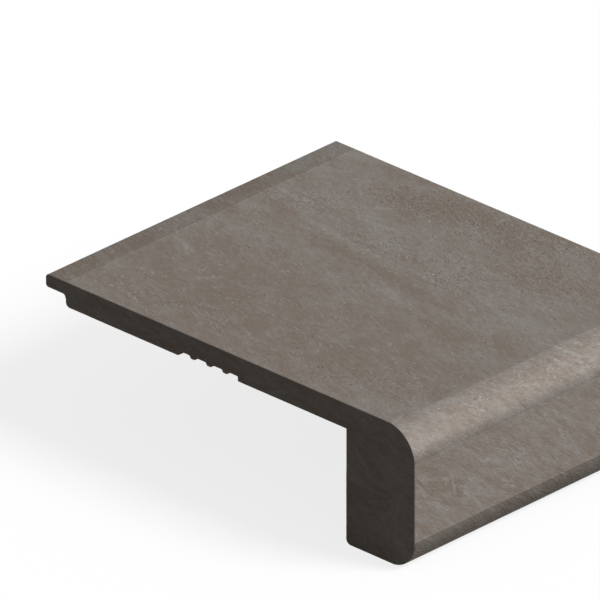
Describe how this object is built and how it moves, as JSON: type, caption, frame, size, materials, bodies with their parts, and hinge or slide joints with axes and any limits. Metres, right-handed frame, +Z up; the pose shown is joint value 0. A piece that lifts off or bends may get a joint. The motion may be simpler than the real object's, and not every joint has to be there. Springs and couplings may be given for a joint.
{
  "type": "stair nosing",
  "caption": "Flush stair nosing with a stone look: flat deck over the tread, round-nosed block before the riser, rear lip for the floor board and ribbed adhesive key.",
  "frame": {"origin": "inside corner where the underside of the deck meets the back of the nose, at mid-length", "axes": "+X along the nose, +Y to the rear over the tread, +Z up"},
  "size_m": [0.1344, 0.1643, 0.0502],
  "materials": {
    "stone_decor": "matt stone-look decor, brown-grey with blue-grey bands, embossed",
    "lip_decor": "the same decor, one shade darker",
    "end_decor": "darker matt stone-look facing",
    "board_core": "milled dense fibreboard"
  },
  "bodies": {
    "root": {"deck_core": "board_core", "nose_block": "board_core", "deck_surface": "stone_decor", "rear_lip_wrap": "lip_decor", "nose_wrap": "stone_decor", "front_surface": "stone_decor", "toe_wrap": "stone_decor", "left_end_facing": "end_decor", "right_end_facing": "end_decor"}
  },
  "joints": []
}
